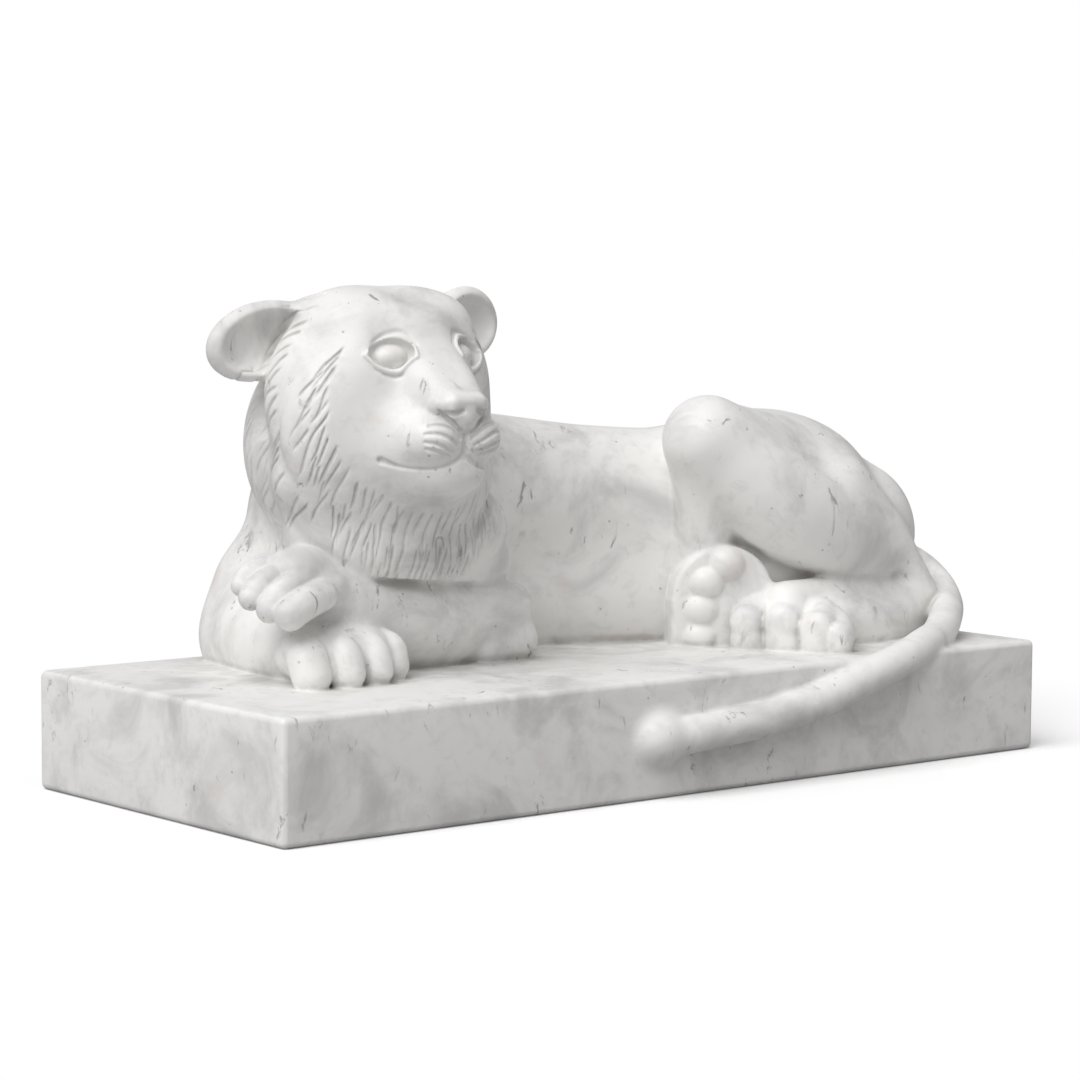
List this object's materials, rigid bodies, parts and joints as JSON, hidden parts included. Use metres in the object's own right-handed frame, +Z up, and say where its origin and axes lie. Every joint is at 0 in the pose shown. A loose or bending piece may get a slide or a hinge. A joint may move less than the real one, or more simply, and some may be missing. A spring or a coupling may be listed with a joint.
{
  "type": "reclining lion statue",
  "caption": "Reclining lion with crossed forepaws and turned head, carved with its long low plinth from one block of white marble.",
  "frame": {"origin": "centre of the plinth's underside", "axes": "+X along the plinth from the head to the rump, +Y away from the long front face that the lion looks over, +Z up"},
  "size_m": [0.6018, 0.2748, 0.3032],
  "materials": {
    "marble": "honed white marble with fine pits and faint grey veins"
  },
  "bodies": {
    "root": {"lion_on_plinth": "marble"}
  },
  "joints": []
}
